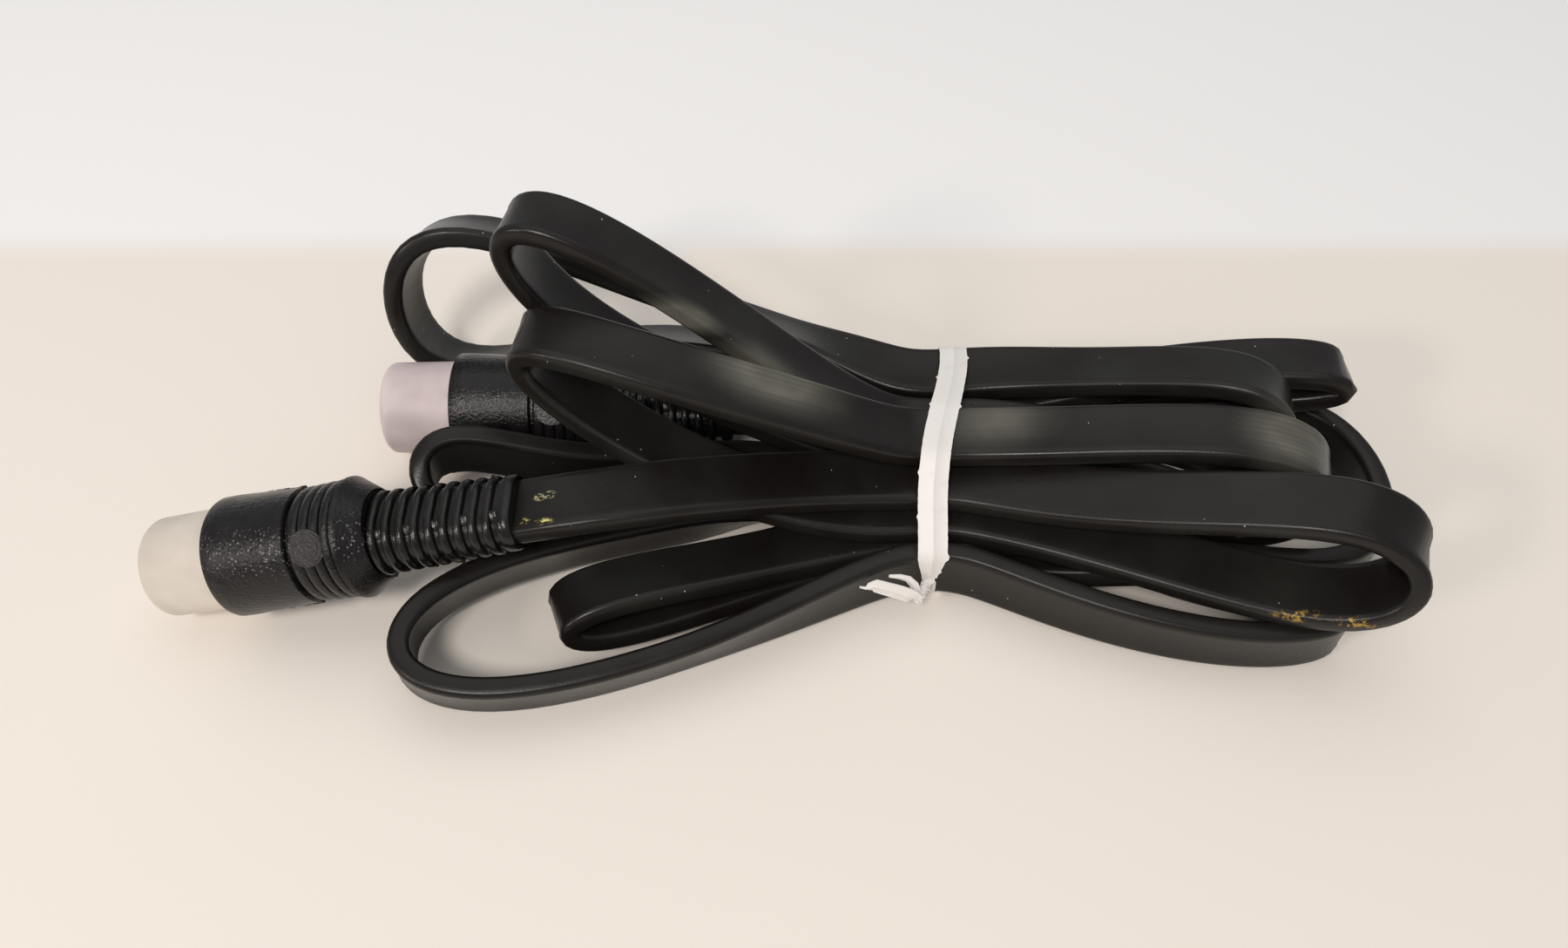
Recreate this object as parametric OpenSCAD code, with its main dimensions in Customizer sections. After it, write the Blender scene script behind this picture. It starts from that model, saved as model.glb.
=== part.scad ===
/* [Cable] */
// Width of the flat cable
cable_w = 9.6; // [9:0.1:9.8]
// Thickness of the flat cable
cable_t = 3.1; // [2.8:0.1:3.3]

/* [Waist of the hank] */
// Distance between the three columns of runs under the tie
column_pitch = 10.4; // [10.2:0.1:10.6]
// Distance between the rows of runs under the tie
row_pitch = 3.75; // [3.7:0.05:3.9]
// Half the length over which the runs lie straight under the tie
waist_half = 3; // [2.5:0.1:3]
// Sideways shift of the fourth row, which lies in the hollows of the third
top_shift = 2.8; // [2:0.1:3]

/* [Plug] */
// Outer diameter of the metal skirt
skirt_d = 13.2; // [13.1:0.05:13.3]
// Wall of the metal skirt
skirt_wall = 0.4; // [0.3:0.05:0.5]
// Length of skirt in front of the hood
skirt_out = 9.2; // [8.5:0.1:9.6]
// Circle on which the contact pins stand
pin_circle_d = 8.89; // [8.8:0.01:9]
// Diameter of a contact pin
pin_d = 1.45; // [1.3:0.05:1.5]
// Angle from each contact pin to the next
pin_step = 45; // [43:0.5:46]
// Largest diameter of the hood, at its front
hood_d = 17.2; // [16.8:0.1:17.6]
// Length of the hood with its cone
hood_len = 23; // [22.6:0.1:24]
// Number of ring ribs round the hood
hood_ribs = 4; // [3:1:4]
// Length of the strain relief boot
boot_len = 20.2; // [19:0.2:22]
// Number of ribs on the boot
boot_ribs = 9; // [7:1:10]

/* [Dust cap] */
// Outer diameter of the dust cap
cap_d = 14.6; // [14.4:0.1:15]
// Length of the dust cap
cap_len = 11; // [10.9:0.1:12]
// Wall of the dust cap at its closed end
cap_end = 1.1; // [0.9:0.1:1.2]

/* [Twist tie] */
// Width of the tie's flat band
tie_w = 4.4; // [3.5:0.1:5]
// Thickness of the band
tie_t = 0.3; // [0.25:0.05:0.35]

/* [Hidden] */

// Fineness of round faces, and a step that keeps cuts clear of the faces they cross
fine = 96;
small = 48;
past = 1;
// Play between pieces that are moulded or pressed together
seat = 0.05;

// From the waist's place on the surface to the middle of the whole part
middle = [21.7, 0.9, 0];

// ---- Places along a plug's axis, from the boot's cable end to the nose ----
hood_front = boot_len + hood_len;
skirt_mouth = hood_front + skirt_out;
skirt_back = hood_front - 9.5;
insulator_back = skirt_back + 1;
insulator_front = hood_front + 1.2;
pin_tip = skirt_mouth - 0.9;
pin_tail = insulator_back - 0.8;
spigot = 1.2;
crimp_from = boot_len + 1.6;
crimp_len = 3;
jacket_end = crimp_from + crimp_len + 1;
shells_from = crimp_from + crimp_len + 0.3;
shells_to = skirt_back + 0.2;
cavity_r = 5.7;
key_w = 2.4;
key_depth = 0.8;
core_d = 1.1;
core_pitch = 1.6;
pins_each = 5;

// ---- Where the two plugs lie: end of the boot, nose down, turn from straight left ----
plug_a = [[-58.1, -16.5, 20.2], 13.2, 0.9];
plug_b = [[-30, 12.4, 8.9], 0, 0];

function nose(plug) = [-cos(plug[1]) * cos(plug[2]), -cos(plug[1]) * sin(plug[2]), -sin(plug[1])];

module at_plug(plug) {
    translate(middle)
        translate(plug[0])
            rotate([0, plug[1], 180 + plug[2]])
                children();
}

// A solid of revolution about the plug's axis, from [radius, place] points
module turned(profile, faces = fine) {
    rotate([0, 90, 0])
        rotate_extrude($fn = faces)
            polygon(profile);
}

// A straight round rod along the plug's axis
module rod(from, to, radius, y = 0, z = 0) {
    translate([from, y, z])
        rotate([0, 90, 0])
            cylinder(r = radius, h = to - from, $fn = small);
}

// A slab across the plug's axis whose outline has round ends
module rounded_slab(from, length, width, height) {
    translate([from, 0, 0])
        rotate([90, 0, 90])
            linear_extrude(length) {
                square([width - height, height], center = true);
                for (end = [-1, 1])
                    translate([end * (width - height) / 2, 0])
                        circle(d = height, $fn = small);
            }
}

// ---- The cable's section and the runs under the tie ----
edge_cut = 0.4 * cable_t;
section = [for (s = [-1, 1])
    each [[s * cable_w / 2, 0], [s * (cable_w / 2 - edge_cut), -s * cable_t / 2],
        [-s * (cable_w / 2 - edge_cut), -s * cable_t / 2]]];
sides = len(section);

// A straight bar of the cable's section with some play round it, to cut with
module cable_slot(from, to, play) {
    wider = 1 + 2 * play / cable_w;
    thicker = 1 + 2 * play / cable_t;
    translate([from, 0, 0])
        rotate([90, 0, 90])
            linear_extrude(to - from)
                polygon([for (p = section) [p[0] * wider, p[1] * thicker]]);
}

near = -1;
mid = 0;
far = 1;
edge = -2;
right = 1;
left = -1;
waist_y = 2;
first_row = cable_t / 2 + 0.4;
// The one run that stands on its edge in front of the near column
edge_run_y = waist_y - column_pitch - cable_w / 2 - cable_t / 2 - 0.6;
edge_run_z = cable_w / 2 + 0.4;
crown_y = waist_y - 2.5;
edge_run = [edge, 1];
crown_run = [mid, 5];
first_slot = [near, 4];
last_slot = [far, 2];

function row_z(row) = first_row + (row - 1) * row_pitch;
function slot_place(slot) =
    slot[0] == edge ? [edge_run_y, edge_run_z]
    : slot[1] == 5 ? [crown_y, row_z(5)]
    : [waist_y + slot[0] * column_pitch + (slot[1] == 4 ? top_shift : 0), row_z(slot[1])];
function slot_width(slot) = slot[0] == edge ? [0, 0, 1] : [0, 1, 0];

// ---- The loops of the hank, in the order in which the cable runs through them ----
// Each: side, run it leaves, run it joins, reach, girth, tilt of the loop's plane,
// its bight's middle [y, z], where the belly is, ease, spin, swing and twist
loop_steps = 23;
LOOPS = [
    [right, [near, 4], [near, 3], 62, 13, 64, [-25, 20], 0.82, 0.05, 30, -1, 0.5],
    [left, [near, 3], crown_run, 58, 14, 92, [3, 32.5], 0.7, 0.05, 2, -3.5, 0.5],
    [right, crown_run, [mid, 1], 55, 18, 91, [-8.5, 15], 0.79, 0.1, -1, 0.5, 0.5],
    [left, [mid, 1], edge_run, 75, 18.5, 9, [-29.5, 6.5], 0.76, 0.1, -7, -2.5, 0.5],
    [right, edge_run, [near, 1], 56, 8, 3, [-25.5, 5.5], 0.72, 0.15, 2, -3, 0.9],
    [left, [near, 1], [near, 2], 53, 6, 76, [-25, 7], 0.84, 0.1, 0, -0.5, 0.5],
    [right, [near, 2], [far, 1], 67.5, 28.5, 1, [-2.5, 6], 0.81, 0.05, 4, 0.5, 0.8],
    [left, [far, 1], [mid, 2], 75.5, 10, 33, [-4.5, 11.5], 0.92, 0.35, 25, -2.5, 0.5],
    [right, [mid, 2], [mid, 4], 44.5, 8, 69, [-9, 12], 0.81, 0.05, 7, 2.5, 0.6],
    [left, [mid, 4], [mid, 3], 60, 17.5, 88, [14.5, 42], 0.76, 0.15, 4, 0, 0.5],
    [right, [mid, 3], [far, 4], 52, 15, 79, [1.5, 16.5], 0.84, 0.1, 1, 2.5, 0.55],
    [left, [far, 4], [far, 3], 83, 24, 76, [27.5, 17.5], 0.87, 0.05, 12, 7.5, 0.25],
    [right, [far, 3], [far, 2], 62.5, 5, 86, [11, 18], 0.82, 0.15, -3, 2.5, 0.5]];

function smooth(x) = let (t = min(max(x, 0), 1)) t * t * (3 - 2 * t);
function unit(v) = v / norm(v);
function along_with(v, w) = v * w < 0 ? -v : v;

// Rings of one loop as [centre, direction of the cable's width]
function loop_rings(loop) =
    let (side = loop[0], reach = loop[3], girth = loop[4], tilt = loop[5], bight = loop[6],
        belly = loop[7], ease = loop[8], spin = loop[9], swing = loop[10], twist = loop[11],
        a = slot_place(loop[1]), b = slot_place(loop[2]),
        start = (a + b) / 2, half = (a - b) / 2, run = reach - waist_half,
        across = [0, cos(tilt), sin(tilt)],
        rise = (bight - start) * (1 + 2 * ease) / (1 + ease),
        axis = unit([side * run, rise[0], rise[1]]),
        plain = unit(cross(across, axis)),
        upright = plain[1] + 0.3 * plain[2] < 0 ? -plain : plain,
        face = upright * cos(spin) + cross(axis, upright) * sin(spin),
        sharp = (belly - 0.5) / (1 - belly),
        widest = 2 * pow(belly, sharp + 0.5) * sqrt(1 - belly),
        way = half * [across[1], across[2]] < 0 ? -1 : 1)
    [for (step = [0 : loop_steps])
        let (turn = 360 * step / loop_steps,
            s = (1 - cos(turn)) / 2,
            out = way * girth / 2 * sin(turn) * pow(s, sharp) / widest,
            drift = s * s * (1 + ease) / (s + ease),
            keep = (1 - smooth(s)) * sign(180 - turn),
            yz = start * (1 - drift) + bight * drift + half * keep + [swing * 4 * s * (1 - s), 0],
            first = along_with(slot_width(turn < 180 ? loop[1] : loop[2]), face),
            mix = smooth(s / twist))
        [[side * (waist_half + run * s), yz[0], yz[1]] + out * across, first * (1 - mix) + face * mix]];

// Rings of the free run from a slot under the tie to a plug, then straight on into the plug
run_steps = 16;
function run_rings(slot, plug) =
    let (place = slot_place(slot), from = [-waist_half, place[0], place[1]], to = plug[0],
        into = nose(plug), pull = 0.4 * norm(to - from),
        handle_a = from - [pull, 0, 0], handle_b = to - pull * into,
        level = [sin(plug[2]), -cos(plug[2]), 0])
    concat(
        [for (step = [0 : run_steps - 1])
            let (t = step / run_steps, u = 1 - t)
            [pow(u, 3) * from + 3 * u * u * t * handle_a + 3 * u * t * t * handle_b + pow(t, 3) * to,
                [0, 1, 0]]],
        [[to, level, into], [to + jacket_end * into, level, into]]);

function backwards(list) = [for (i = [len(list) - 1 : -1 : 0]) list[i]];

path = concat(backwards(run_rings(first_slot, plug_a)),
    [for (loop = LOOPS) each loop_rings(loop)],
    run_rings(last_slot, plug_b));
rings = len(path);

// Direction of the path at a ring: as stated for it, or from its two neighbours
function heading(i) = path[i][2] != undef
    ? (i < rings / 2 ? -path[i][2] : path[i][2])
    : unit(path[min(i + 1, rings - 1)][0] - path[max(i - 1, 0)][0]);
function squared(v, axis) = unit(v - (v * axis) * axis);

headings = [for (i = [0 : rings - 1]) heading(i)];
widths = [for (i = [0 : rings - 1]) squared(path[i][1], headings[i])];
// The cable is the same either way up, so each ring keeps to the side of the one before it
turns = [for (i = 0, way = 1; i < rings;
    i = i + 1, way = i < rings && widths[i] * widths[i - 1] < 0 ? -way : way) way];

// The lowest loops stand on a flat: no point lies below the surface
function stood(point) = [point[0], point[1], max(point[2], 0)];
function ring_points(i) =
    let (wide = turns[i] * widths[i], thick = cross(headings[i], wide))
    [for (p = section) stood(path[i][0] + p[0] * wide + p[1] * thick)];

function tube_faces() = concat(
    [for (i = [0 : rings - 2], k = [0 : sides - 1])
        let (a = i * sides + k, b = i * sides + (k + 1) % sides)
        each [[a, b, b + sides], [a, b + sides, a + sides]]],
    [for (k = [1 : sides - 2]) each [[0, k + 1, k],
        (rings - 1) * sides * [1, 1, 1] + [0, k, k + 1]]]);

// ---- The least gap of the cable to itself, from points across its middle plane ----
gap_fill = 4;
gap_across = 2;
gap_skip = 14;
gap_reach = 12;
function run_lengths() = [for (i = 0, s = 0; i < rings;
    i = i + 1, s = i < rings ? s + norm(path[i][0] - path[i - 1][0]) : s) s];
function strip(i) = [for (f = [0 : gap_fill - 1], g = [-gap_across : gap_across])
    let (t = f / gap_fill)
    path[i][0] * (1 - t) + path[i + 1][0] * t
        + g / gap_across * (cable_w - cable_t) / 2
            * (turns[i] * widths[i] * (1 - t) + turns[i + 1] * widths[i + 1] * t)];
function least_gap() =
    let (s = run_lengths(), strips = [for (i = [0 : rings - 2]) strip(i)])
    min([for (i = [0 : rings - 2], j = [i + 1 : 1 : rings - 2])
        if (s[j] - s[i] > gap_skip && norm(path[i][0] - path[j][0]) < gap_reach)
            min([for (p = strips[i], q = strips[j]) norm(p - q)])]) - cable_t;

module flat_cable() {
    echo(str("least gap of the cable to itself, mm: ", least_gap()));
    echo(str("length of the cable, mm: ", run_lengths()[rings - 1], ", rings: ", rings));
    color("#1d1d1b")
        translate(middle)
            polyhedron([for (i = [0 : rings - 1]) each ring_points(i)], tube_faces());
}

// ---- The twist tie ----
bundle = [edge_run, crown_run, for (column = [near : far], row = [1 : 4]) [column, row]];

// Outline of all the runs under the tie, drawn tight and grown
module bundle_outline(grow) {
    offset(r = grow, $fn = small)
        hull()
            for (slot = bundle)
                translate(slot_place(slot))
                    square(slot[0] == edge ? [cable_t, cable_w] : [cable_w, cable_t], center = true);
}

module tie_band() {
    color("#e8e6df")
        translate(middle)
            rotate([90, 0, 90])
                linear_extrude(tie_w, center = true)
                    difference() {
                        bundle_outline(seat + tie_t);
                        bundle_outline(seat);
                    }
}

// The band's twisted neck in front of the bundle, and the two tails that stand to its left
neck_at = [-1.2, edge_run_y - cable_t / 2 - seat - tie_t, 2.6];
neck_len = 3.5;
neck_w = 2.2;
neck_t = 1.1;
tail_t = 0.4;
broad_tail = [[0.5, -0.5], [0.5, 0.7], [-3.2, 5.5], [-8.1, 6.8], [-10.1, 5], [-9.3, 4.1]];
thin_tail = [[-0.5, 0.2], [0.5, 0.4], [-0.8, 6], [-5.7, 6.3], [-5.7, 5.7], [-1.6, 5.4]];
thin_tail_back = 1.2;

module tie_tails() {
    color("#e8e6df")
        translate(middle + neck_at)
            rotate([90, 0, 0]) {
                linear_extrude(neck_len, twist = 360, slices = 24)
                    square([neck_w, neck_t], center = true);
                translate([0, 0, neck_len - tail_t / 2])
                    linear_extrude(tail_t)
                        polygon(broad_tail);
                translate([0, 0, neck_len - thin_tail_back])
                    linear_extrude(tail_t)
                        polygon(thin_tail);
            }
}

// ---- Strain relief boot: tapered ribs with round ends on a slimmer core ----
boot_w = [12.4, 11.6];
boot_h = [10.4, 7.4];
boot_groove = 1.2;
lap = 0.1;
bridge_turn = 50;
bridge_w = 1.7;
bridge_low = 1.6;
bridge_under = 0.15;
collar_len = 1.8;
collar_less = 0.2;
rib_share = 0.6;
function taper(range, place) = range[1] + (range[0] - range[1]) * place / boot_len;

module boot() {
    color("#1f1f1d")
        difference() {
            union() {
                rib_pitch = (boot_len - collar_len) / boot_ribs;
                for (rib = [0 : boot_ribs - 1]) {
                    from = collar_len + rib * rib_pitch - lap;
                    at = from + rib_pitch * (1 - rib_share) + lap;
                    mean_r = (taper(boot_w, at) + taper(boot_h, at)) / 4;
                    // Groove, then rib
                    rounded_slab(from, at - from + lap, taper(boot_w, at) - boot_groove,
                        taper(boot_h, at) - boot_groove);
                    rounded_slab(at, rib_pitch * rib_share, taper(boot_w, at), taper(boot_h, at));
                    // Two bridges across each groove, a quarter turn on from those of the last groove
                    for (side = [0, 180])
                        rotate([bridge_turn + (rib % 2) * 90 + side, 0, 0])
                            translate([from, mean_r - bridge_low, -bridge_w / 2])
                                cube([at - from + lap, bridge_low - bridge_under, bridge_w]);
                }
                // Collar at the cable's end
                rounded_slab(0, collar_len, boot_w[1] - collar_less, boot_h[1]);
                // Spigot that the hood is moulded over
                rod(boot_len - past, boot_len + spigot, cavity_r - seat);
            }
            cable_slot(-past, boot_len + spigot + past, seat);
        }
}

// ---- Moulded hood: cone, flare, ring ribs, smooth barrel and a front edge with a chamfer ----
cone_r = 6.6;
flare_at = boot_len + 3.2;
ribs_from = flare_at + 0.7;
rib_step = 1.55;
rib_rise = 0.6;
barrel_r = [8.1, hood_d / 2];
front_chamfer = 0.5;
rib_arc = 5;
rib_gap = 0.15;
flare_r = barrel_r[0] + 0.5;
flare_len = 0.5;
shoulder = [0.1, 0.6];
front_band = 2.2;

module hood() {
    rib_foot = barrel_r[0] - rib_rise;
    ribs_to = ribs_from + hood_ribs * rib_step;
    outline = concat(
        [[0, boot_len], [cone_r, boot_len], [flare_r, flare_at],
            [flare_r, flare_at + flare_len], [rib_foot, ribs_from]],
        [for (rib = [0 : hood_ribs - 1], step = [0 : rib_arc])
            let (turn = 180 * step / rib_arc)
            [rib_foot + rib_rise * sin(turn),
                ribs_from + rib * rib_step + rib_gap + (rib_step - 2 * rib_gap) * step / rib_arc]],
        [[rib_foot, ribs_to], [barrel_r[0] + shoulder[0], ribs_to + shoulder[1]],
            [barrel_r[1], hood_front - front_band], [barrel_r[1], hood_front - front_chamfer],
            [barrel_r[1] - front_chamfer, hood_front], [0, hood_front]]);
    color("#161615")
        difference() {
            turned(outline);
            // Room for the shells and crimp, open at the back round the boot's spigot
            rod(boot_len - past, skirt_back + past, cavity_r);
            // Seat of the metal skirt
            rod(skirt_back, hood_front + past, skirt_d / 2 + seat);
        }
}

// ---- Metal skirt: a drawn tube with a turned-in mouth and the key along its inside ----
mouth_chamfer = 0.15;
key_back = 0.4;
module skirt() {
    outer = skirt_d / 2;
    inner = outer - skirt_wall;
    color("silver")
        union() {
            turned([[inner, skirt_back], [outer, skirt_back], [outer, skirt_mouth - mouth_chamfer],
                [outer - mouth_chamfer, skirt_mouth], [inner, skirt_mouth]]);
            translate([insulator_front, -key_w / 2, -inner - skirt_wall / 2])
                cube([skirt_mouth - key_back - insulator_front, key_w, key_depth + skirt_wall / 2]);
        }
}

// Where a pin stands across the axis: the middle pin is at the top of the arc
function pin_place(pin) =
    let (turn = 90 + pin_step * (pin - (pins_each - 1) / 2))
    pin_circle_d / 2 * [cos(turn), sin(turn)];

// ---- Insulator: a moulded disc that carries the five pins ----
insulator_chamfer = 0.3;
pin_play = 0.02;
recess_r = 1.6;
recess_deep = 0.6;
module insulator() {
    outer = skirt_d / 2 - skirt_wall - seat;
    color("#2b2b2b")
        difference() {
            turned([[0, insulator_back], [outer, insulator_back],
                [outer, insulator_front - insulator_chamfer],
                [outer - insulator_chamfer, insulator_front], [0, insulator_front]]);
            for (pin = [0 : pins_each - 1])
                rod(insulator_back - past, insulator_front + past, pin_d / 2 + pin_play,
                    pin_place(pin)[0], pin_place(pin)[1]);
            // Shallow moulding recess in the middle of the face
            rod(insulator_front - recess_deep, insulator_front + past, recess_r);
        }
}

// ---- Contact pins with bullet tips ----
tip_len = 0.7;
tip_shoulder = 0.8;
tip_flat = 0.4;
module pins() {
    radius = pin_d / 2;
    color("#c9c9c5")
        for (pin = [0 : pins_each - 1])
            translate([0, pin_place(pin)[0], pin_place(pin)[1]])
                turned([[0, pin_tail], [radius, pin_tail], [radius, pin_tip - tip_len],
                    [radius * tip_shoulder, pin_tip - tip_len / 3],
                    [radius * tip_flat, pin_tip], [0, pin_tip]], small);
}

// ---- Two half shells that screen the solder room between the skirt and the jacket ----
shell_r = 5.6;
shell_wall = 0.4;
shell_gap = 0.3;
module inner_shells() {
    color("silver")
        difference() {
            rod(shells_from, shells_to, shell_r);
            rod(shells_from - past, shells_to + past, shell_r - shell_wall);
            translate([shells_from - past, -shell_r - past, -shell_gap / 2])
                cube([shells_to - shells_from + 2 * past, 2 * (shell_r + past), shell_gap]);
        }
}

// ---- Crimp: a flat band closed round the jacket, with a seam on top ----
crimp_wall = 0.45;
crimp_spare = [0.1, 0.3];
crimp_seam = 0.4;
module crimp() {
    width = cable_w + 2 * crimp_wall + crimp_spare[0];
    height = cable_t + 2 * crimp_wall + crimp_spare[1];
    color("#b5b5b0")
        difference() {
            rounded_slab(crimp_from, crimp_len, width, height);
            cable_slot(crimp_from - past, crimp_from + crimp_len + past, seat);
            translate([crimp_from - past, -crimp_seam / 2, 0])
                cube([crimp_len + 2 * past, crimp_seam, cable_t]);
        }
}

// ---- Cores: from the end of the jacket, side by side, out to the tails of the pins ----
module core_length(from, to) {
    run = to - from;
    translate(from)
        rotate([0, acos(run[2] / norm(run)), atan2(run[1], run[0])])
            translate([0, 0, -past])
                cylinder(d = core_d, h = norm(run) + 2 * past, $fn = small);
}

module cores() {
    color("#a33b2a")
        intersection() {
            union()
                for (pin = [0 : pins_each - 1])
                    core_length([jacket_end, (pin - (pins_each - 1) / 2) * -core_pitch, 0],
                        [pin_tail, pin_place(pin)[0], pin_place(pin)[1]]);
            // Cut off square at the jacket's end and at the pins' tails
            rod(jacket_end, pin_tail, cavity_r);
        }
}

// ---- Dust cap: a soft cup with a rounded closed end and a small rim bead ----
cap_play = 0.1;
cap_round = 1.3;
cap_draft = 0.15;
cap_gap = 0.05;
cap_inside = 0.6;
cap_lead_in = 0.3;
rim_len = 1;
round_steps = 6;
module dust_cap() {
    outer = cap_d / 2;
    inner = skirt_d / 2 + cap_play;
    rim = hood_front + cap_gap;
    closed = rim + cap_len;
    crown = outer - cap_draft - cap_round;
    color("#d8d2cf")
        turned(concat(
            [[inner + 0.15, rim], [outer + 0.05, rim], [outer + 0.05, rim + rim_len],
                [outer, rim + rim_len + 0.1]],
            [for (step = [0 : round_steps])
                let (turn = 90 * step / round_steps)
                [crown + cap_round * cos(turn), closed - cap_round + cap_round * sin(turn)]],
            [[0, closed], [0, closed - cap_end], [inner - cap_inside, closed - cap_end],
                [inner, closed - cap_end - cap_inside], [inner, rim + cap_lead_in]]));
}

flat_cable();
tie_band();
tie_tails();
at_plug(plug_a) boot();  // boot_a
at_plug(plug_a) hood();  // hood_a
at_plug(plug_a) skirt();  // skirt_a
at_plug(plug_a) insulator();  // insulator_a
at_plug(plug_a) pins();  // pins_a
at_plug(plug_a) inner_shells();  // inner_shells_a
at_plug(plug_a) crimp();  // crimp_a
at_plug(plug_a) cores();  // cores_a
at_plug(plug_a) dust_cap();  // dust_cap_a
at_plug(plug_b) boot();  // boot_b
at_plug(plug_b) hood();  // hood_b
at_plug(plug_b) skirt();  // skirt_b
at_plug(plug_b) insulator();  // insulator_b
at_plug(plug_b) pins();  // pins_b
at_plug(plug_b) inner_shells();  // inner_shells_b
at_plug(plug_b) crimp();  // crimp_b
at_plug(plug_b) cores();  // cores_b
at_plug(plug_b) dust_cap();  // dust_cap_b
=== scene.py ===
"""A flat instrument cable with a moulded plug at each end, folded into a hank and held by a twist tie."""

import logging
import math
import random
from dataclasses import dataclass
from enum import Enum
from typing import Any, Optional, Sequence, Union

import bmesh
import bpy
from mathutils import Matrix, Vector
from mathutils.geometry import convex_hull_2d


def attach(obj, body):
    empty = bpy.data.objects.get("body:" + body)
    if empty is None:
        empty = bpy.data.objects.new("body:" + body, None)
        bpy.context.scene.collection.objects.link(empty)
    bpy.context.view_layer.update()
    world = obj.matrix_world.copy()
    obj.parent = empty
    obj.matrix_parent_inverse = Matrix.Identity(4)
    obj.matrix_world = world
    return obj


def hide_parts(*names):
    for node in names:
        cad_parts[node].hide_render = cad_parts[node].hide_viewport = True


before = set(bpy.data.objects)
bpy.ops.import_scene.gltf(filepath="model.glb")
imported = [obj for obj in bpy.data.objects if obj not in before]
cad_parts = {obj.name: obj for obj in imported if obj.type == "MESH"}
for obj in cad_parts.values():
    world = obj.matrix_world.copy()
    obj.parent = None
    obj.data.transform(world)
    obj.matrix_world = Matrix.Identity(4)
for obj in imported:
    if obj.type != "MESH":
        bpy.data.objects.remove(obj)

log = logging.getLogger("instrument_cable")

# Lengths are written in millimetres, and become metres where a mesh is finished
MM = 0.001
# From the waist's place on the floor to the middle of the whole part
MIDDLE = Vector((21.7, 0.9, 0.0))

# Facets round a spun body, and round the boot's outline
ROUND_FACETS = 96
BOOT_FACETS = 48

Colour = tuple[float, float, float, float]
Pair = tuple[float, float]
Triple = tuple[float, float, float]
Outline = list[Pair]
Mesh = bmesh.types.BMesh
Piece = bpy.types.Object
Tree = bpy.types.NodeTree
Socket = bpy.types.NodeSocket
Setting = Union[float, int, str, bool, tuple, Socket]


# ---------------------------------------------------------------- small helpers


def smooth(x: float) -> float:
    """Eases x from 0 to 1, with level ends."""
    t = min(max(x, 0.0), 1.0)
    return t * t * (3 - 2 * t)


def linear(hex_colour: str) -> Colour:
    """Turns an sRGB hex colour into the linear one that shaders take.

    Args:
        hex_colour: The colour, as "#rrggbb".

    Returns:
        Red, green, blue and a solid alpha.
    """
    parts = [int(hex_colour[i : i + 2], 16) / 255 for i in (1, 3, 5)]
    red, green, blue = (c / 12.92 if c <= 0.04045 else ((c + 0.055) / 1.055) ** 2.4 for c in parts)
    return red, green, blue, 1.0


def per_mm(size: float) -> float:
    """The texture scale at which a pattern repeats about every size millimetres."""
    return 1 / (size * MM)


def stood(point: Vector) -> Vector:
    """A point, raised to the floor where it would be below it."""
    return Vector((point.x, point.y, max(point.z, 0.0)))


def outward(station: float, turn: float, out: float) -> Matrix:
    """A place at a station of a round body, turned about its axis and moved out from it."""
    to_station, away = Matrix.Translation((station, 0, 0)), Matrix.Translation((0, out, 0))
    return to_station @ Matrix.Rotation(turn, 4, "X") @ away


def rounded_outline(width: float, height: float, corner: float, points: int) -> Outline:
    """The outline of a bar with rounded corners.

    Args:
        width: The bar's whole width.
        height: The bar's whole height.
        corner: The corners' radius, at most half the height.
        points: How many points, a multiple of four.

    Returns:
        Places across and up, in order round the bar.
    """
    outline = []
    for k in range(points):
        angle = 2 * math.pi * (k + 0.5) / points
        across, up = math.cos(angle), math.sin(angle)
        middle = math.copysign(width / 2 - corner, across), math.copysign(height / 2 - corner, up)
        outline.append((middle[0] + corner * across, middle[1] + corner * up))
    return outline


# ---------------------------------------------------------------- meshes


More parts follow.
